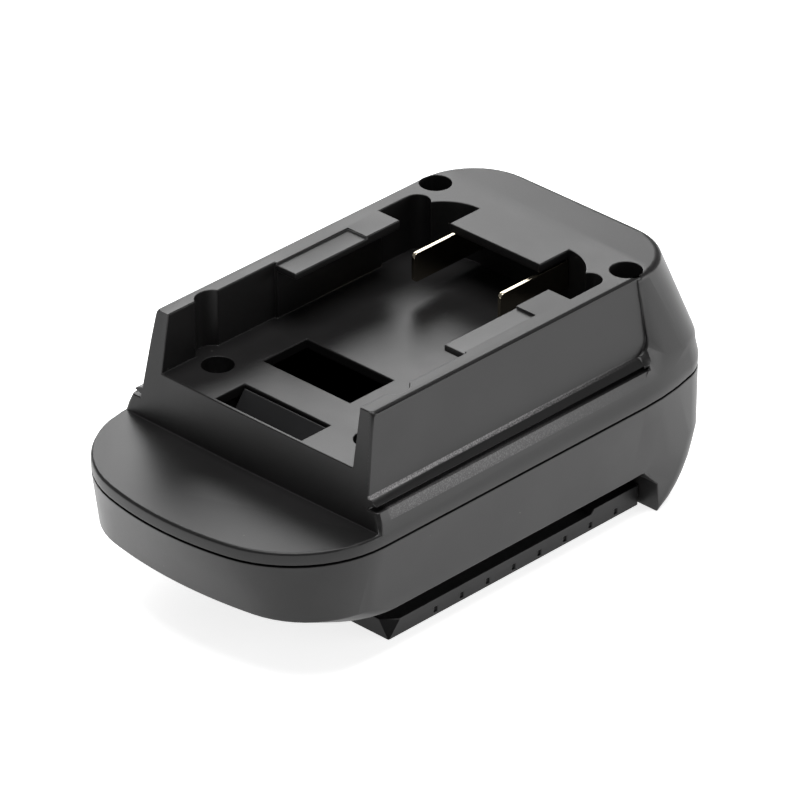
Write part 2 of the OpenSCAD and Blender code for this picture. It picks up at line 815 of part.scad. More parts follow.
module tube(points, r, sides, ref) {
    n = len(points);
    rings = [for (i = [0:n - 1]) each ring(points, i, r, sides, ref)];
    walls = [for (i = [0:n - 2], j = [0:sides - 1])
        let (a = i * sides + j, b = i * sides + (j + 1) % sides)
            each [[a, a + sides, b], [b, a + sides, b + sides]]];
    caps = [for (j = [1:sides - 2])
        each [[0, j, j + 1], [(n - 1) * sides, (n - 1) * sides + j + 1, (n - 1) * sides + j]]];
    polyhedron(rings, concat(walls, caps), convexity = 6);
}

// Leads: from under a blade's tail, over the spring retainer and down to a contact's tail
lead_sides = 8;
lead_rise = 2.6;
lead_z = neck_floor_z + lead_rise;
lead_top_y = room_y + carrier_len + 2;
lead_top_z = blade_low + blade_step;
lead_end_y = contact_y + contact_len + contact_tail;
lead_middle = [[11.5, 47.4, 34], [11.6, 45.4, 31.9], [11.7, 42, 31], [12, 38, 31], [13, 33, 30.6],
               [14, 29, 29.4], [14.6, 25, 27], [14.4, 21.5, 23.6], [13.4, 18, 19.6], [11.4, 13.5, 15],
               [9.2, 8.5, 11.4], [7.9, 4, 10]];

function lead_points(side) =
    concat([for (d = [0, 4, 7.5]) [side * blade_x, back(lead_top_y), lead_top_z - d]],
           [for (p = lead_middle) [side * p[0], p[1], p[2]]],
           [for (d = [5.5, 3, 0]) [side * contact_x, back(lead_end_y + d), lead_z]]);

module lead(side) tube(lead_points(side), lead_r, lead_sides, [1, 0, 0]);

module positive_lead() color([0.62, 0.06, 0.05]) lead(1);

module negative_lead() color([0.05, 0.05, 0.06]) lead(-1);

module lead_sleeves() {
    sleeve_t = 0.5;
    sleeve_len = 4.5;
    color(inner_colour)
        both_sides() {
            translate([blade_x, back(lead_top_y), lead_top_z - sleeve_len]) sleeve(sleeve_len, sleeve_t);
            translate([contact_x, back(lead_end_y) + sleeve_len, lead_z])
                rotate([90, 0, 0]) sleeve(sleeve_len, sleeve_t);
        }
}

module sleeve(length, t)
    difference() {
        cylinder(r = lead_r + play + t, h = length);
        translate([0, 0, -over]) cylinder(r = lead_r + play, h = length + 2 * over);
    }

// Striker under the catch slot, on two bosses of the bay floor
module catch_bracket() {
    plate_front = 0.6;
    bar_tip = 0.3;
    bar_run = 5;
    bar_drop = 6.2;
    bar_back = slot_len - slot_lead - bar_tip;
    bar_face = bar_back - bar_tip - bar_run;
    bar_top = floor_z - 0.7;
    plate_w = bracket_boss[0] + small_boss_r;
    color(inner_colour)
        difference() {
            union() {
                block(-plate_w, plate_w, back(plate_front), back(bar_back), bracket_z - plate_t, bracket_z);
                translate([-slot_w / 2 + slide_gap, 0, 0])
                    rotate([90, 0, 90])
                        linear_extrude(slot_w - 2 * slide_gap)
                            polygon([[back(bar_back), bracket_z - skin], [back(bar_back), bar_top],
                                     [back(bar_back) - bar_tip, bar_top],
                                     [back(bar_face), bar_top - bar_drop],
                                     [back(bar_face), bracket_z - skin]]);
            }
            both_sides()
                post([bracket_boss[0], back(bracket_boss[1])], small_pass_r, bracket_z - plate_t - over,
                     bracket_z + over);
        }
}

module bracket_screws()
    color(steel_colour)
        small_screws([for (s = [-1, 1]) [s * bracket_boss[0], back(bracket_boss[1])]], bracket_z - plate_t,
                     under_z - bracket_z + plate_t - 2 * small_r, false);

// Latch: hook with a slanted nose, cross-head under the springs, and the arm to the button
module latch_slide()
    color(inner_colour) {
        nose = hook_len * 0.5;
        translate([-hook_w / 2, 0, 0])
            rotate([90, 0, 90])
                linear_extrude(hook_w)
                    polygon([[hook_y + nose, hook_low], [hook_y + hook_len, hook_low],
                             [hook_y + hook_len, cross_z + cross_h], [hook_y, cross_z + cross_h],
                             [hook_y, hook_low + nose]]);
        block(-cross_w / 2, cross_w / 2, hook_y, hook_y + hook_len, cross_z, cross_z + cross_h);
        block(-arm_w / 2, arm_w / 2, hook_y + hook_len - skin, button_y, arm_low, arm_low + arm_h);
        translate([0, button_y - skin, arm_low + arm_h / 2])
            rotate([-90, 0, 0]) cylinder(r = pin_r, h = button_t / 2);
        both_sides() post([spring_x, hook_mid], peg_r, spring_low - skin, spring_low + peg_h);
    }

// Release button with grip ribs across its face
module release_button() {
    rib_r = 0.55;
    rib_count = 5;
    rib_inset = 2;
    rib_pitch = button_h / (rib_count + 1);
    color(shell_colour)
        difference() {
            union() {
                block(-button_w / 2, button_w / 2, button_y, button_y + button_t,
                      button_low, button_low + button_h);
                for (i = [1:rib_count])
                    translate([-button_w / 2 + rib_inset, button_y + button_t, button_low + i * rib_pitch])
                        rotate([0, 90, 0]) cylinder(r = rib_r, h = button_w - 2 * rib_inset);
            }
            translate([0, button_y - over, arm_low + arm_h / 2])
                rotate([-90, 0, 0]) cylinder(r = pin_r + pilot_gap, h = button_t / 2 + over + play);
        }
}

// Latch springs: an even helix between the cross-head and the retainer
spring_steps = 10;
function spring_points(side) =
    [for (i = [0:spring_turns * spring_steps])
        let (a = 360 * i / spring_steps, rise = spring_len - 2 * wire_r - 2 * play)
            [side * spring_x + spring_r * cos(a), hook_mid + spring_r * sin(a),
             spring_low + wire_r + play + rise * i / (spring_turns * spring_steps)]];
spring_gap = min([for (i = [0:(spring_turns - 1) * spring_steps])
    norm(spring_points(1)[i + spring_steps] - spring_points(1)[i])]) - 2 * wire_r;
echo(least_spring_gap = spring_gap);

module latch_spring_left() color(steel_colour) tube(spring_points(-1), wire_r, 6, [0, 0, 1]);

module latch_spring_right() color(steel_colour) tube(spring_points(1), wire_r, 6, [0, 0, 1]);

module spring_retainer()
    color(inner_colour)
        difference() {
            union() {
                block(-retainer_w / 2, retainer_w / 2, hook_mid - retainer_len / 2,
                      hook_mid + retainer_len / 2, retainer_z, retainer_z + retainer_t);
                both_sides()
                    post([spring_x, hook_mid], peg_r, spring_low + peg_h + latch_travel + peg_gap,
                         retainer_z + skin);
            }
            both_sides()
                post([retainer_boss_x, hook_mid], small_pass_r, retainer_z - over,
                     retainer_z + retainer_t + over);
        }

module retainer_screws()
    color(steel_colour)
        small_screws([for (s = [-1, 1]) [s * retainer_boss_x, hook_mid]], retainer_z + retainer_t,
                     retainer_screw_len, true);

upper_shell();
lower_shell();
rail_left();
rail_right();
housing_screws();
rail_screws();
positive_blade();
negative_blade();
blade_carrier();
carrier_screws();
positive_receptacle();
negative_receptacle();
receptacle_holder();
receptacle_screws();
positive_lead();
negative_lead();
lead_sleeves();
catch_bracket();
bracket_screws();
latch_slide();
release_button();
latch_spring_left();
latch_spring_right();
spring_retainer();
retainer_screws();
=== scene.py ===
# %% [markdown]
# A slide-on adapter for a cordless tool: a black moulded body with a bay on top for one battery and
# a rail foot below for the tool. The measured solids come from the frame, which already has every
# piece at its true size and place. This lesson softens their edges, gives each piece its finish,
# and lights the whole as a studio would.

# %% Load the measured frame
import math

import bmesh
import bpy
from mathutils import Matrix, Vector
from mathutils.bvhtree import BVHTree
from mathutils.geometry import intersect_point_line


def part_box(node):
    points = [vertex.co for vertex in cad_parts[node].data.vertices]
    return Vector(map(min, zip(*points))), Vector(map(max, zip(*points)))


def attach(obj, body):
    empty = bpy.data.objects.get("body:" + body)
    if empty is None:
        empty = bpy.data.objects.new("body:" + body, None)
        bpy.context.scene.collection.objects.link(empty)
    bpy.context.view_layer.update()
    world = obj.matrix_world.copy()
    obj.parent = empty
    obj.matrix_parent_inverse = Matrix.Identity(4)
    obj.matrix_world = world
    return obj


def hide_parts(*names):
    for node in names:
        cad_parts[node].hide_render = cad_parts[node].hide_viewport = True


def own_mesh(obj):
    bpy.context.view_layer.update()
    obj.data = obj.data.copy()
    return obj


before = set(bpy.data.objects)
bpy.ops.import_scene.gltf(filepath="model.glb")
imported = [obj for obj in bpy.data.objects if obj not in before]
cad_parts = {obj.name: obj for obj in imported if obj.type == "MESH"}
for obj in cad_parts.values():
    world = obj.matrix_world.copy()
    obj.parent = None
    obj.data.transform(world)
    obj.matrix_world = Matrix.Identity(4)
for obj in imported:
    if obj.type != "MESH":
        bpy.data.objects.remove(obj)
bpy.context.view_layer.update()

MM = 0.001
scene = bpy.context.scene
print("nodes in the frame:", len(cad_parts))

# %% [markdown]
# The picture was taken from the front right, a little above the body, with a long lens, so that
# parallel edges stay nearly parallel. A camera needs only its place and three directions: right,
# up and back. They go into the columns of its matrix.

# %% Camera
CAMERA_AT = Vector((0.91037, -0.93997, 0.78340))
CAMERA_RIGHT = Vector((0.71975, 0.69423, 0.0))
CAMERA_UP = Vector((-0.34646, 0.35920, 0.86656))
LENS_MM, SENSOR_MM = 352.5, 36
NEAREST, FARTHEST = 0.05, 50

lens = bpy.data.cameras.new("studio_camera")
lens.lens, lens.sensor_width = LENS_MM, SENSOR_MM
lens.clip_start, lens.clip_end = NEAREST, FARTHEST
camera = bpy.data.objects.new("studio_camera", lens)
camera_back = CAMERA_RIGHT.cross(CAMERA_UP)
camera.matrix_world = Matrix((CAMERA_RIGHT, CAMERA_UP, camera_back)).transposed().to_4x4()
camera.location = CAMERA_AT
scene.collection.objects.link(camera)
scene.camera = camera
print("camera looks along", [round(-x, 2) for x in camera_back])

# %% [markdown]
# Shader maths reads best as plain sums. A small class wraps one output socket, so that
# `1 - mask * 0.3` adds its own Math nodes. Its `add` method makes any other node: first the
# settings, then the values or wires of the sockets. The same class builds the node trees that
# make meshes further down.


# %% A wire that does sums
class Wire:
    def __init__(self, tree, socket=None):
        self.tree = tree
        self.socket = socket

    def add(self, kind, settings=None, sockets=None, take=0):
        node = self.tree.nodes.new(kind)
        for key, value in (settings or {}).items():
            setattr(node, key, value)
        for key, value in (sockets or {}).items():
            self.plug(node.inputs[key], value)
        return Wire(self.tree, node.outputs[take])

    def plug(self, target, value):
        if isinstance(value, Wire):
            self.tree.links.new(value.socket, target)
        else:
            target.default_value = value

    def sum(self, operation, first, second):
        return self.add("ShaderNodeMath", {"operation": operation}, {0: first, 1: second})

    def __add__(self, other):
        return self.sum("ADD", self, other)

    def __radd__(self, other):
        return self.sum("ADD", other, self)

    def __sub__(self, other):
        return self.sum("SUBTRACT", self, other)

    def __rsub__(self, other):
        return self.sum("SUBTRACT", other, self)

    def __mul__(self, other):
        return self.sum("MULTIPLY", self, other)

    def __rmul__(self, other):
        return self.sum("MULTIPLY", other, self)

    def __truediv__(self, other):
        return self.sum("DIVIDE", self, other)

    def step(self, low, high):
        """0 below low, 1 above high, and a smooth rise between them."""
        return self.add("ShaderNodeMapRange", {"interpolation_type": "SMOOTHSTEP"},
                        {"Value": self, "From Min": low, "From Max": high})


print("a wire adds, subtracts, multiplies, divides and steps")

# %% [markdown]
# Every finish starts the same way: a material, its one shader with the values that are equal all
# over, and a wire of Object coordinates in metres. Four helpers on top of that give cloudy noise
# of a chosen size in millimetres, a blend of two colours, a bump, and the links into the shader.

# %% Start of a finish
MIX_FACTOR, MIX_FIRST, MIX_SECOND, MIX_RESULT = 0, 6, 7, 2


def new_finish(name, constants):
    material = bpy.data.materials.new(name)
    material.use_nodes = True
    tree = material.node_tree
    shader = tree.nodes["Principled BSDF"]
    for key, value in constants.items():
        shader.inputs[key].default_value = value
    place = Wire(tree).add("ShaderNodeTexCoord", take="Object")
    return material, shader, place


def cloud(place, size_mm, detail, rough):
    return place.add("ShaderNodeTexNoise", {"noise_dimensions": "3D"},
                     {"Vector": place, "Scale": 1 / (size_mm * MM), "Detail": detail,
                      "Roughness": rough})


def blended(amount, *shades):
    first, second = (s if isinstance(s, Wire) else (*s, 1) for s in shades)
    return amount.add("ShaderNodeMix", {"data_type": "RGBA"},
                      {MIX_FACTOR: amount, MIX_FIRST: first, MIX_SECOND: second},
                      take=MIX_RESULT)


def relief(height, strength, depth_mm):
    return height.add("ShaderNodeBump", None,
                      {"Height": height, "Strength": strength, "Distance": depth_mm * MM})


def link(shader, **wires):
    for key, wire in wires.items():
        wire.plug(shader.inputs[key.replace("_", " ").title()], wire)


print("finish helpers: new_finish, cloud, blended, relief, link")

# %% [markdown]
# The housing is glass-filled black plastic from a spark-eroded tool: a satin skin with a grain of
# about a quarter of a millimetre. Its gloss is a little uneven, handling has polished the edges,
# and a few specks of dust have settled. The grain is a bump, the uneven gloss goes into the
# roughness, and the worn edges follow an attribute that the edge rounding below writes on each
# mesh. Their colour is lighter, partly as wear and partly as a painted highlight. On both sides of
# the shell, a band on the sloping shoulder has a coarser grain as a bump and painted glints in its
# colour, and a painted highlight line runs along the foot of the side panels. Both fade towards the
# rear. Their places are in millimetres, as pairs between which they rise or fall.

# %% Moulded plastic
PLASTIC_IOR = 1.38
GRAIN_MM, COARSE_MM, PATCH_MM = 0.22, 0.32, 16
GRAIN_STRENGTH, GRAIN_DEPTH_MM = 0.5, 0.05
SIDE_X = (29.9, 30.2)
SHOULDER_Z = ((31.2, 31.4), (33.3, 33.5))
SHOULDER_Y = ((-34, -33), (-10, 41))
FOOT_Z = ((35.25, 35.4), (35.85, 36.05))
FOOT_END_Y = (-5, 45)
SPECKS_PER_M, SPECK_SIZE = 120.0, (0.008, 0.02)
DUST_SHADE = (0.3, 0.29, 0.27)
# How much lighter the colour is painted: worn edges (wear and painted highlight), painted shoulder
# glints, painted foot highlight.
EDGE_WEAR_AND_HIGHLIGHT, SHOULDER_GLINT_PAINT, FOOT_HIGHLIGHT_PAINT = 3, 13, 34


def rises(wire, span_mm):
    return wire.step(span_mm[0] * MM, span_mm[1] * MM)


def band(wire, begin_mm, end_mm):
    return rises(wire, begin_mm) - rises(wire, end_mm)


def patchy(noise, least, span):
    """A mask between least and 1 that follows a noise."""
    return least + (1 - least) * noise.step(*span)


def moulded_finish(name, shade, gloss, grain, painted_strips_and_grain=0.0):
    material, shader, place = new_finish(name, {"IOR": PLASTIC_IOR})
    split = place.add("ShaderNodeSeparateXYZ", None, {0: place}).socket.node.outputs
    across_x, along_y, up_z = (Wire(place.tree, split[axis]) for axis in "XYZ")
    out_x = across_x.add("ShaderNodeMath", {"operation": "ABSOLUTE"}, {0: across_x})
    fine = cloud(place, GRAIN_MM, 3, 0.6)
    coarse = cloud(place, COARSE_MM, 2, 0.6)
    patches = cloud(place, PATCH_MM, 4, 0.55)
    worn_and_highlit_edges = place.add("ShaderNodeAttribute", {"attribute_name": "edge"}, take="Fac")
    specks = place.add("ShaderNodeTexVoronoi", None, {"Vector": place, "Scale": SPECKS_PER_M},
                       take="Distance")

    def times(factor):
        return tuple(c * factor for c in shade)

    # This strength scales the painted shoulder glints, the painted foot highlight and the coarse
    # grain bump.
    side = rises(out_x, SIDE_X) * painted_strips_and_grain
    shoulder = band(up_z, *SHOULDER_Z) * band(along_y, *SHOULDER_Y) * side
    foot = band(up_z, *FOOT_Z) * (1 - rises(along_y, FOOT_END_Y)) * side
    dust = 1 - specks.step(*SPECK_SIZE)
    rub_and_painted_highlight = worn_and_highlit_edges * patchy(patches, 0.3, (0.35, 0.7))
    tone = patches.step(0.2, 0.8) * 0.45 + fine * 0.55
    colour = blended(tone, times(0.85), times(1.15))
    # Worn edges painted lighter: partly wear, partly a painted highlight along the rounds.
    colour = blended(rub_and_painted_highlight * 0.5, colour, times(EDGE_WEAR_AND_HIGHLIGHT))
    # Painted glints: the shoulder band is painted lighter in coarse flecks, standing in for
    # reflected light.
    painted_glints = shoulder * patchy(coarse, 0.3, (0.46, 0.64))
    colour = blended(painted_glints, colour, times(SHOULDER_GLINT_PAINT))
    # Painted highlight: a light line painted along the foot of the side panels, where a rounded lip
    # would catch the light.
    painted_highlight_line = foot * patchy(coarse, 0.35, (0.42, 0.6))
    colour = blended(painted_highlight_line, colour, times(FOOT_HIGHLIGHT_PAINT))
    colour = blended(dust * 0.4, colour, DUST_SHADE)
    roughness = gloss + (patches - 0.5) * 0.05 + (fine - 0.5) * 0.1 - rub_and_painted_highlight * 0.06 + dust * 0.3
    bumps = fine * grain + coarse * shoulder * 0.4
    link(shader, base_color=colour, roughness=roughness,
         normal=relief(bumps, GRAIN_STRENGTH, GRAIN_DEPTH_MM))
    print("finish", name, "gloss", gloss)
    return material


shell_black = moulded_finish("shell_black", (0.0062, 0.0060, 0.0061), 0.40, 0.3, 0.9)
rail_black = moulded_finish("rail_black", (0.0058, 0.0057, 0.0059), 0.42, 0.3)
button_black = moulded_finish("button_black", (0.0075, 0.0074, 0.0075), 0.45, 0.5)
carrier_black = moulded_finish("carrier_black", (0.009, 0.009, 0.0095), 0.45, 0.4)

# %% [markdown]
# The contacts are brass with a thin pale plating. Rolled strip keeps fine lines along its length,
# so the noise is stretched along Y, and it tarnishes a little in clouds. Screws are zinc plated,
# with a faint warm bloom, and the springs are drawn wire.

# %% Metals
BLOOM_MM = 4


def streaks(place, across_mm, along_mm):
    across, along = 1 / (across_mm * MM), 1 / (along_mm * MM)
    stretched = place.add("ShaderNodeMapping", None,
                          {"Vector": place, "Scale": (across, along, across)})
    return stretched.add("ShaderNodeTexNoise", None,
                         {"Vector": stretched, "Scale": 1.0, "Detail": 3.0})


def metal_finish(name, dull, bright, gloss, across_mm, along_mm):
    material, shader, place = new_finish(name, {"Metallic": 1.0})
    lines = streaks(place, across_mm, along_mm)
    bloom = cloud(place, BLOOM_MM, 3, 0.6)
    colour = blended(bloom.step(0.2, 0.8) * 0.4 + lines * 0.6, dull, bright)
    roughness = gloss + (lines - 0.5) * 0.12 + (0.5 - bloom) * 0.06
    link(shader, base_color=colour, roughness=roughness, normal=relief(lines, 0.2, 0.01))
    print("finish", name, "gloss", gloss)
    return material


plated_brass = metal_finish("plated_brass", (0.42, 0.365, 0.275), (0.6, 0.54, 0.43), 0.18, 0.06, 3)
zinc_plate = metal_finish("zinc_plate", (0.34, 0.34, 0.35), (0.56, 0.56, 0.58), 0.34, 0.12, 0.3)
spring_wire = metal_finish("spring_wire", (0.42, 0.42, 0.44), (0.66, 0.66, 0.68), 0.3, 0.05, 0.8)

# %% [markdown]
# The leads have soft plastic insulation with a waxy gloss, and their ends are covered by shrunk
# tube, which is duller and slightly wrinkled.

# %% Insulation and shrunk tube
INSULATION_IOR = 1.48
INSULATION_PATCH_MM = 6


def insulation_finish(name, dark, light, gloss, wrinkle_mm):
    material, shader, place = new_finish(name, {"IOR": INSULATION_IOR})
    wrinkles = cloud(place, wrinkle_mm, 2, 0.5)
    patches = cloud(place, INSULATION_PATCH_MM, 3, 0.55)
    colour = blended(patches.step(0.3, 0.7), dark, light)
    roughness = gloss + (wrinkles - 0.5) * 0.14
    link(shader, base_color=colour, roughness=roughness, normal=relief(wrinkles, 0.3, 0.04))
    print("finish", name, "gloss", gloss)
    return material


red_insulation = insulation_finish("red_insulation", (0.36, 0.018, 0.016), (0.52, 0.035, 0.03),
                                   0.38, 0.9)
black_insulation = insulation_finish("black_insulation", (0.012, 0.012, 0.013),
                                     (0.024, 0.024, 0.025), 0.38, 0.9)
shrunk_tube = insulation_finish("shrunk_tube", (0.018, 0.018, 0.019), (0.036, 0.036, 0.038),
                                0.55, 0.5)

# %% [markdown]
# A moulded edge is never knife sharp. Each solid is copied, its loose triangles are merged and its
# flat faces joined, and every edge that turns by more than a set angle gets a small round. Where
# several edges crowd together, a round can overshoot. So the new corners are compared with the skin
# of the solid, and edges beside a corner that strays too far are left as they are. The few corners
# that stray even then go back to the skin. The new faces get the attribute `edge`, for the wear and
# the painted edge highlight. A weighted-normal modifier keeps the flats flat.

# %% Rounded copies of the solids
MERGE = 0.03 * MM
FLAT = math.radians(0.8)
TURN = math.radians(26)
SMOOTH = math.radians(32)
ROUND_STEPS = 2
STRAY = 0.55
REACH = 1.5
TURNED_IN = -0.2
TRIES = 8


def merged(node):
    mesh = bmesh.new()
    mesh.from_mesh(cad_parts[node].data)
    bmesh.ops.remove_doubles(mesh, verts=mesh.verts, dist=MERGE)
    bmesh.ops.dissolve_degenerate(mesh, edges=mesh.edges, dist=MERGE / 10)
    bmesh.ops.dissolve_limit(mesh, angle_limit=FLAT, verts=mesh.verts, edges=mesh.edges)
    return mesh


def as_piece(mesh, name, body, finish, nodes):
    data = bpy.data.meshes.new(name)
    mesh.to_mesh(data)
    mesh.free()
    data.materials.append(finish)
    piece = bpy.data.objects.new(name, data)
    scene.collection.objects.link(piece)
    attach(piece, body)
    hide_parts(*nodes)
    return piece


def sharp_edges(mesh, spots):
    found = []
    for edge in mesh.edges:
        if len(edge.link_faces) != 2 or edge.calc_face_angle(0) <= TURN:
            continue
        start, end = (v.co for v in edge.verts)
        for spot, reach in spots:
            near, share = intersect_point_line(spot, start, end)
            near = start if share < 0 else end if share > 1 else near
            if (near - spot).length < reach:
                break
        else:
            found.append(edge)
    return found


def strays(mesh, made, skin, radius):
    spots = []
    for corner in mesh.verts:
        gap = skin.find_nearest(corner.co)[3]
        if gap > STRAY * radius:
            spots.append((corner.co.copy(), gap + REACH * radius))
    for face in made:
        middle = face.calc_center_median()
        if face.normal.dot(skin.find_nearest(middle)[1]) < TURNED_IN:
            spots.append((middle, REACH * radius))
    return spots


def rounded(node, name, body, finish, round_mm, before=None, left=()):
    radius = round_mm * MM
    plain = merged(node)
    if before:
        before(plain)
    skin = BVHTree.FromBMesh(plain)
    spots = list(left)
    for attempt in range(TRIES):
        mesh = plain.copy()
        edges = sharp_edges(mesh, spots)
        made = bmesh.ops.bevel(mesh, geom=edges, offset=radius, offset_type="OFFSET",
                               segments=ROUND_STEPS, profile=0.5, affect="EDGES",
                               clamp_overlap=False)["faces"]
        mesh.normal_update()
        found = strays(mesh, made, skin, radius)
        if not found or attempt == TRIES - 1:
            break
        spots.extend(found)
        mesh.free()
    plain.free()
    for corner in mesh.verts:
        nearest, _, _, gap = skin.find_nearest(corner.co)
        if gap > STRAY * radius:
            corner.co = nearest
    # The attribute marks the round faces for wear and for a painted edge highlight.
    edge_wear_and_highlight = mesh.verts.layers.float.new("edge")
    for face in made:
        for corner in face.verts:
            corner[edge_wear_and_highlight] = 1.0
    for face in mesh.faces:
        face.smooth = True
    piece = as_piece(mesh, name, body, finish, [node])
    piece.data.set_sharp_from_angle(angle=SMOOTH)
    weights = piece.modifiers.new("flat faces first", "WEIGHTED_NORMAL")
    weights.keep_sharp = True
    print(name, len(piece.data.polygons), "faces,", len(edges), "edges rounded by", round_mm, "mm,",
          len(spots), "spots left plain,", len(found), "strays")


# %% [markdown]
# The side panels end at the rear in a step that is only a fine dark line on the real shell. The
# solid's step is deeper, so its outer corners are drawn in towards the panel before the edges are
# rounded. The faces around them become triangles first, because a bent face with many corners
# shades badly.

# %% Rear ends of the side panels
PANEL_FOOT_X, PANEL_FOOT_Z = 30.3 * MM, 35.6 * MM
PANEL_TOP_X, PANEL_TOP_Z = 29.0 * MM, 51.1 * MM
STEP_Y = (36 * MM, 43 * MM)
STEP_Z = (35.0 * MM, 50.5 * MM)
STEP_LEFT = 0.3 * MM
STEP_SHARE = 0.3


def fine_panel_ends(mesh):
    slope = (PANEL_TOP_X - PANEL_FOOT_X) / (PANEL_TOP_Z - PANEL_FOOT_Z)
    moves = []
    for corner in mesh.verts:
        x, y, z = corner.co
        panel_x = PANEL_FOOT_X + slope * (z - PANEL_FOOT_Z)
        proud = abs(x) - panel_x - STEP_LEFT
        if proud > 0 and STEP_Y[0] < y < STEP_Y[1] and STEP_Z[0] < z < STEP_Z[1]:
            moves.append((corner, math.copysign(panel_x + STEP_LEFT + proud * STEP_SHARE, x)))
    around = dict.fromkeys(face for corner, _ in moves for face in corner.link_faces)
    bmesh.ops.triangulate(mesh, faces=list(around))
    for corner, x in moves:
        corner.co.x = x
    print("panel ends:", len(moves), "corners drawn in")


# %% [markdown]
# Below each panel the shell swells into a thin lip over a groove. On the real shell the lip ends in
# a fine edge, so its narrow outer face is squeezed upwards. At the front, its corners slide along
# the leaning front face, so that this stays flat. At the rear, the lip runs out into the panel's
# end without a step.

# %% Lip under the side panels
LIP_X = (31.4 * MM, 32.5 * MM)
LIP_LOW_Z, LIP_TOP_Z = 34.0 * MM, 34.6 * MM
LIP_END_Y = 38.1 * MM
LIP_SHARE = 0.25
FRONT_Y = -35 * MM
FRONT_LEAN = 0.156
END_FACE = 0.9
LIP_SLOPE = 0.532
STOP_Y, STOP_NEAR = 38.02 * MM, 0.05 * MM


def soft_lip(mesh):
    outer = [v for v in mesh.verts if LIP_X[0] < abs(v.co.x) < LIP_X[1] and v.co.y < LIP_END_Y
             and LIP_LOW_Z - MERGE < v.co.z < LIP_TOP_Z]
    around = dict.fromkeys(face for corner in outer for face in corner.link_faces
                           if abs(face.normal.y) < END_FACE)
    bmesh.ops.triangulate(mesh, faces=list(around))
    for corner in outer:
        rise = (LIP_TOP_Z - corner.co.z) * (1 - LIP_SHARE)
        corner.co.z += rise
        if corner.co.y < FRONT_Y:
            corner.co.y += rise * FRONT_LEAN
    for corner in mesh.verts:
        x, y, z = corner.co
        slope_z = PANEL_FOOT_Z - (abs(x) - PANEL_FOOT_X) * LIP_SLOPE
        if (abs(y - STOP_Y) < STOP_NEAR and PANEL_FOOT_X + STOP_NEAR < abs(x) < LIP_X[0]
                and slope_z < z < PANEL_FOOT_Z + STOP_NEAR):
            corner.co.z = slope_z
    print("lips:", len(outer), "corners raised")


def shaped_panels(mesh):
    fine_panel_ends(mesh)
    soft_lip(mesh)


# %% [markdown]
# The two shells, the rails, the carriers inside and the release button are all moulded, so they are
# made alike. The upper shell has its panels shaped first, and its edges stay plain in the two
# crowded spots where the grooves end. The latch with its button rides on its own body, and
# everything else on the housing.

# %% Mouldings
GROOVE_END, GROOVE_END_REACH = Vector((31.2, 38.6, 35.6)) * MM, 1.5 * MM
SHAPED_FIRST = {"upper_shell": shaped_panels}
LEFT_PLAIN = {"upper_shell": [(GROOVE_END * Vector((side, 1, 1)), GROOVE_END_REACH)
                              for side in (-1, 1)]}
MOULDINGS = [
    ("upper_shell", "housing", "shell", shell_black, 0.25),
    ("lower_shell", "housing", "shell", shell_black, 0.25),
    ("rail_left", "housing", "rail", rail_black, 0.25),
    ("rail_right", "housing", "rail", rail_black, 0.25),
    ("catch_bracket", "housing", "carrier", carrier_black, 0.15),
    ("blade_carrier", "housing", "carrier", carrier_black, 0.15),
    ("receptacle_holder", "housing", "carrier", carrier_black, 0.15),
    ("spring_retainer", "housing", "carrier", carrier_black, 0.15),
    ("latch_slide", "latch", "carrier", carrier_black, 0.15),
    ("release_button", "latch", "button", button_black, 0.2),
]
for node, body, slot, finish, round_mm in MOULDINGS:
    rounded(node, node + "_moulding", body, finish, round_mm, SHAPED_FIRST.get(node),
            left=LEFT_PLAIN.get(node, ()))

# %% [markdown]
# Blades and clips are cut from strip, so their edges have only a slight break from the press. The
# sleeves at the ends of the leads are made the same way, with a softer edge.

# %% Contacts and sleeves
for node in ("positive_blade", "negative_blade", "positive_receptacle", "negative_receptacle"):
    rounded(node, node + "_strip", "housing", plated_brass, 0.06)
rounded("lead_sleeves", "lead_sleeves_tube", "housing", shrunk_tube, 0.1)

# %% [markdown]
# Screws repeat, so one node tree will make them all. Their places and sizes are measured from the
# solids of the frame, one island of faces for each screw.


# %% Measure the screws
def islands(node):
    mesh = merged(node)
    todo, boxes = set(mesh.verts), []
    while todo:
        front = [todo.pop()]
        seen = list(front)
        while front:
            nearby = [e.other_vert(v) for v in front for e in v.link_edges]
            front = [v for v in set(nearby) if v in todo]
            todo.difference_update(front)
            seen.extend(front)
        boxes.append([Vector(f(v.co[i] for v in seen) for i in range(3)) for f in (min, max)])
    mesh.free()
    return sorted(boxes, key=lambda b: (round(b[0].x, 5), round(b[0].y, 5)))


centres = [(low + high) / 2 for low, high in islands("housing_screws")]
print("housing screws stand at", [[round(x / MM, 1) for x in c] for c in centres])

# %% [markdown]
# Every tree that makes a mesh takes points, a few sizes and a material, and ends by painting what
# it made. Two shapes come back in more than one tree: a coil, and a tube around a path.


# %% Start and end of a tree
def new_tree(name, *sizes):
    tree = bpy.data.node_groups.new(name, "GeometryNodeTree")
    for way in ("INPUT", "OUTPUT"):
        tree.interface.new_socket("Geometry", in_out=way, socket_type="NodeSocketGeometry")
    names = {}
    for key in (*sizes, "Material"):
        kind = "NodeSocketMaterial" if key == "Material" else "NodeSocketFloat"
        names[key] = tree.interface.new_socket(key, in_out="INPUT", socket_type=kind).identifier
    group = tree.nodes.new("NodeGroupInput")
    size = {key: Wire(tree, group.outputs[key]) for key in ("Geometry", *names)}
    return tree, names, size


def close_tree(tree, shape, material):
    plain = shape.add("GeometryNodeRealizeInstances", None, {0: shape})
    painted = plain.add("GeometryNodeSetMaterial", None, {0: plain, "Material": material})
    tree.links.new(painted.socket, tree.nodes.new("NodeGroupOutput").inputs[0])


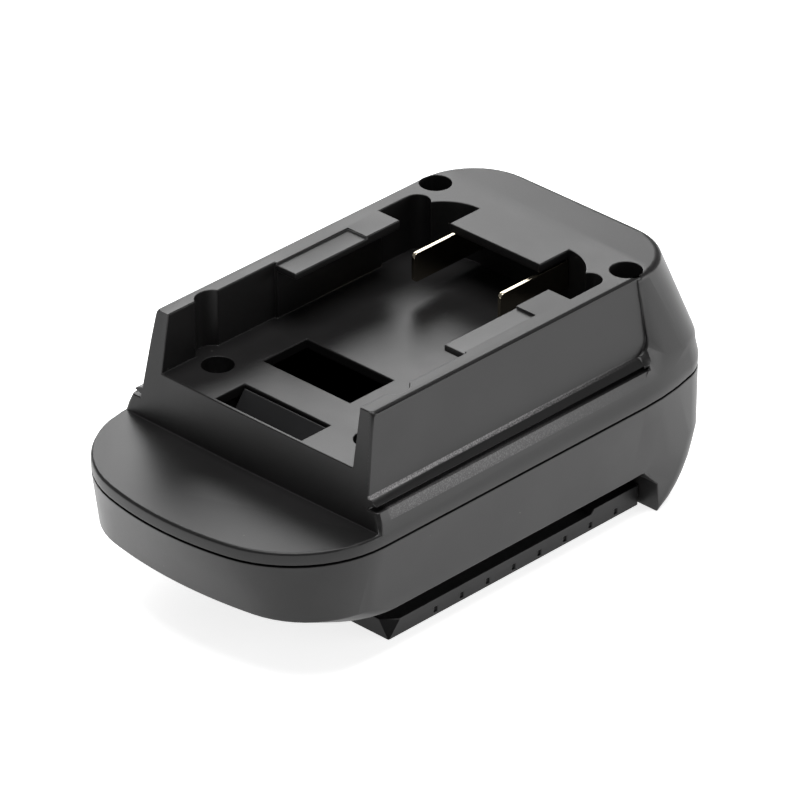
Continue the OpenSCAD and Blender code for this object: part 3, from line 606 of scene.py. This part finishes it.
def coil(start, steps, turns, radius, height):
    return start.add("GeometryNodeCurveSpiral", None,
                     {"Resolution": steps, "Rotations": turns, "Start Radius": radius,
                      "End Radius": radius, "Height": height})


def tube(path, sides, radius):
    ring = path.add("GeometryNodeCurvePrimitiveCircle", {"mode": "RADIUS"},
                    {"Resolution": sides, "Radius": radius})
    return path.add("GeometryNodeCurveToMesh", None,
                    {"Curve": path, "Profile Curve": ring, "Fill Caps": True})


print("tree helpers: new_tree, close_tree, coil, tube")

# %% [markdown]
# A screw has a threaded shank from a coil, a domed head from stacked cones, a cross recess cut by
# two bars, and one instance on each point. Its inner sizes are shares of the shank's radius or of
# the head. Each cone of the head is given by its radius below, its radius above and its height.

# %% Screw tree
CORE, POINT, TIP, RIDGE = 0.74, 1.2, 0.2, 0.24
THREAD_SPAN, THREAD_DROP = 0.96, 0.98
HEAD_STACK = ((0.94, 1.0, 0.12), (1.0, 0.99, 0.4), (0.99, 0.9, 0.24), (0.9, 0.7, 0.24))
HEAD_MERGE = 0.002 * MM
CROSS_BARS = ((0.3, 1.2), (1.2, 0.3))
CONE_SIDES, THREAD_STEPS, RIDGE_SIDES = 32, 20, 4


def screw_tree():
    tree, names, size = new_tree("screw_set", "Head radius", "Head height", "Shank radius",
                                 "Length", "Pitch", "Turn over")
    start = Wire(tree)

    def vector(x=0.0, y=0.0, z=0.0):
        return start.add("ShaderNodeCombineXYZ", None, {0: x, 1: y, 2: z})

    def raised(shape, z):
        return start.add("GeometryNodeTransform", None,
                         {"Geometry": shape, "Translation": vector(z=z)})

    def joined(*shapes):
        whole = start.add("GeometryNodeJoinGeometry")
        for shape in shapes:
            tree.links.new(shape.socket, whole.socket.node.inputs[0])
        return whole

    def cone(low, high, depth, z):
        made = start.add("GeometryNodeMeshCone", None,
                         {"Vertices": CONE_SIDES, "Radius Top": high, "Radius Bottom": low,
                          "Depth": depth})
        return raised(made, z)

    head_r, head_h, shank_r = size["Head radius"], size["Head height"], size["Shank radius"]
    length = size["Length"]
    core = shank_r * CORE
    point = shank_r * POINT
    grip = length - point
    shank = cone(core, core, grip, 0 - grip)
    tip = cone(shank_r * TIP, core, point, 0 - length)
    spiral = coil(start, THREAD_STEPS, grip / size["Pitch"], core, grip * THREAD_SPAN)
    thread = raised(tube(spiral, RIDGE_SIDES, shank_r * RIDGE), 0 - grip * THREAD_DROP)
    stack, level = [], 0.0
    for low, high, share in HEAD_STACK:
        stack.append(cone(head_r * low, head_r * high, head_h * share, head_h * level))
        level += share
    merged_head = start.add("GeometryNodeMergeByDistance", None,
                            {"Geometry": joined(*stack), "Distance": HEAD_MERGE})
    solid_head = start.add("GeometryNodeConvexHull", None, {0: merged_head})
    cross = start.add("GeometryNodeMeshBoolean", {"operation": "UNION"})
    for across, along in CROSS_BARS:
        bar = start.add("GeometryNodeMeshCube", None,
                        {"Size": vector(head_r * across, head_r * along, head_h)})
        tree.links.new(raised(bar, head_h).socket, cross.socket.node.inputs[1])
    head = start.add("GeometryNodeMeshBoolean", {"operation": "DIFFERENCE"},
                     {0: solid_head, 1: cross})
    turn = start.add("FunctionNodeEulerToRotation", None, {0: vector(x=size["Turn over"])})
    placed = start.add("GeometryNodeInstanceOnPoints", None,
                       {"Points": size["Geometry"], "Instance": joined(head, shank, tip, thread),
                        "Rotation": turn})
    close_tree(tree, placed, size["Material"])
    return tree, names


SCREWS = screw_tree()
print("screw tree has", len(SCREWS[0].nodes), "nodes")

# %% [markdown]
# A piece is grown from a few points by a tree, and then kept as a plain mesh. The points stand
# alone for screws and springs, and follow each other along a path for the leads. Screws go in with
# their heads up, or turned over where they are driven from below.

# %% Run a tree on a few points
GROWN_SMOOTH = math.radians(30)
PITCH_SHARE = 0.75


def grown(name, kit, values, points, body, finish, nodes, path=False):
    tree, names = kit
    data = bpy.data.meshes.new(name)
    data.from_pydata(points, [(i, i + 1) for i in range(len(points) - 1)] if path else [], [])
    piece = bpy.data.objects.new(name, data)
    scene.collection.objects.link(piece)
    modifier = piece.modifiers.new("grow", "NODES")
    modifier.node_group = tree
    for key, value in values.items():
        modifier[names[key]] = value
    modifier[names["Material"]] = finish
    bpy.context.view_layer.update()
    graph = bpy.context.evaluated_depsgraph_get()
    done = bpy.data.meshes.new_from_object(piece.evaluated_get(graph))
    piece.modifiers.clear()
    piece.data = done
    done.name = name
    for face in done.polygons:
        face.use_smooth = True
    done.set_sharp_from_angle(angle=GROWN_SMOOTH)
    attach(piece, body)
    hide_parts(*nodes)
    print(name, len(done.polygons), "faces")
    return piece


SCREW_SETS = [
    ("housing_screws", 2.2, 1.5, True),
    ("rail_screws", 1.5, 0.9, False),
    ("carrier_screws", 1.5, 0.9, False),
    ("bracket_screws", 1.5, 0.9, False),
    ("receptacle_screws", 1.5, 0.9, True),
    ("retainer_screws", 1.5, 0.9, True),
]
for node, head_mm, shank_mm, heads_up in SCREW_SETS:
    boxes = islands(node)
    low, high = boxes[0]
    seat = high.z - head_mm * MM if heads_up else low.z + head_mm * MM
    points = [((a.x + b.x) / 2, (a.y + b.y) / 2, seat) for a, b in boxes]
    values = {"Head radius": (high.x - low.x) / 2, "Head height": head_mm * MM,
              "Shank radius": shank_mm * MM, "Length": high.z - low.z - head_mm * MM,
              "Pitch": shank_mm * PITCH_SHARE * MM, "Turn over": 0.0 if heads_up else math.pi}
    grown(node + "_set", SCREWS, values, points, "housing", zinc_plate, [node])

# %% [markdown]
# A latch spring is a round wire along a spiral. It is squeezed as the latch rises; here it keeps
# the height of its solid in the frame.

# %% Latch springs
WIRE_RADIUS = 0.35 * MM
SPRING_TURNS = 6.0
COIL_STEPS, WIRE_SIDES = 32, 10


def spring_tree():
    tree, names, size = new_tree("wire_spring", "Turns", "Coil radius", "Wire radius", "Height")
    path = coil(Wire(tree), COIL_STEPS, size["Turns"], size["Coil radius"], size["Height"])
    wire = tube(path, WIRE_SIDES, size["Wire radius"])
    placed = wire.add("GeometryNodeInstanceOnPoints", None,
                      {"Points": size["Geometry"], "Instance": wire})
    close_tree(tree, placed, size["Material"])
    return tree, names


SPRINGS = spring_tree()
for side in ("left", "right"):
    node = "latch_spring_" + side
    low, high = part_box(node)
    centre = (low + high) / 2
    values = {"Turns": SPRING_TURNS, "Coil radius": (high.x - low.x) / 2 - WIRE_RADIUS,
              "Wire radius": WIRE_RADIUS, "Height": high.z - low.z - 2 * WIRE_RADIUS}
    foot = (centre.x, centre.y, low.z + WIRE_RADIUS)
    spring = grown(node + "_wire", SPRINGS, values, [foot], "housing",
                   spring_wire, [node])
    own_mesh(spring)

# %% [markdown]
# The two leads run from the blades, over the spring retainer, down to the tool contacts. Each is a
# round wire along a smooth curve through the route's points.

# %% Leads
LEAD_RADIUS = 1.25 * MM
LEAD_STEPS, LEAD_SIDES = 90, 16
LEAD_ROUTE = [(11.5, 47.5, 44.445), (11.5, 47.5, 40.445), (11.5, 47.5, 36.945), (11.5, 47.4, 34),
              (11.6, 45.4, 31.9), (11.7, 42, 31), (12, 38, 31), (13, 33, 30.6), (14, 29, 29.4),
              (14.6, 25, 27), (14.4, 21.5, 23.6), (13.4, 18, 19.6), (11.4, 13.5, 15),
              (9.2, 8.5, 11.4), (7.9, 4, 10), (7.5, -2.1, 9.8), (7.5, -4.6, 9.8), (7.5, -7.6, 9.8)]


def lead_tree():
    tree, names, size = new_tree("round_lead", "Radius")
    route = Wire(tree).add("GeometryNodeMeshToCurve", None, {0: size["Geometry"]})
    smooth = route.add("GeometryNodeCurveSplineType", {"spline_type": "CATMULL_ROM"}, {0: route})
    fine = smooth.add("GeometryNodeResampleCurve", None, {"Curve": smooth, "Count": LEAD_STEPS})
    close_tree(tree, tube(fine, LEAD_SIDES, size["Radius"]), size["Material"])
    return tree, names


LEADS = lead_tree()
for node, side, slot, finish in (("positive_lead", 1, "red_lead", red_insulation),
                                 ("negative_lead", -1, "black_lead", black_insulation)):
    points = [(side * x * MM, y * MM, z * MM) for x, y, z in LEAD_ROUTE]
    grown(node + "_wire", LEADS, {"Radius": LEAD_RADIUS}, points, "housing", finish, [node],
          path=True)

# %% [markdown]
# The set is a white table, lit from below as well, so that shadows on it stay pale. The room is
# dim. One soft box hangs overhead for the table, one stands behind on the left, where the flat tops
# mirror it, and a low one behind on the right draws the bright line along the shoulder.

# %% Studio
ROOM = 0.2
TABLE_GLOW, TABLE_IOR = 0.8, 1.45
MOTTLE_MM = 40
FLOOR_HALF = 6.0
SOFT_BOXES = [
    ("soft_box_overhead", (0, 0, 1.9), (0, 0, 0), 1.2, 1.2, 36),
    ("soft_box_behind", (-0.70, 0.49, 0.50), (0, 0, 0.05), 0.6, 0.5, 4.8),
    ("soft_box_low", (1.25, 1.0, 0.22), (0, 0, 0.03), 1.2, 0.42, 9),
]


def pale_floor():
    material, shader, place = new_finish("pale_floor", {"IOR": TABLE_IOR,
                                                        "Emission Strength": TABLE_GLOW})
    mottle = cloud(place, MOTTLE_MM, 3, 0.5)
    link(shader, base_color=blended(mottle, (0.86, 0.86, 0.86), (0.9, 0.9, 0.9)),
         roughness=0.6 + mottle * 0.1,
         emission_color=blended(mottle, (0.98, 0.98, 0.98), (1, 1, 1)))
    return material


floor_corners = [(x * FLOOR_HALF, y * FLOOR_HALF, 0)
                 for x, y in ((-1, -1), (1, -1), (1, 1), (-1, 1))]
floor_mesh = bpy.data.meshes.new("floor")
floor_mesh.from_pydata(floor_corners, [], [(0, 1, 2, 3)])
floor_mesh.materials.append(pale_floor())
floor = bpy.data.objects.new("floor", floor_mesh)
scene.collection.objects.link(floor)

sky = bpy.data.worlds.new("dim_room")
sky.use_nodes = True
background = sky.node_tree.nodes["Background"].inputs
background["Color"].default_value = (1, 1, 1, 1)
background["Strength"].default_value = ROOM
scene.world = sky

for name, at, aim, width, height, power in SOFT_BOXES:
    light = bpy.data.lights.new(name, "AREA")
    light.shape = "RECTANGLE"
    light.size, light.size_y, light.energy = width, height, power
    box = bpy.data.objects.new(name, light)
    box.location = at
    box.rotation_euler = (Vector(aim) - Vector(at)).to_track_quat("-Z", "Y").to_euler()
    scene.collection.objects.link(box)
scene.view_settings.view_transform = "Standard"
print("room strength", ROOM, "and", len(SOFT_BOXES), "soft boxes")
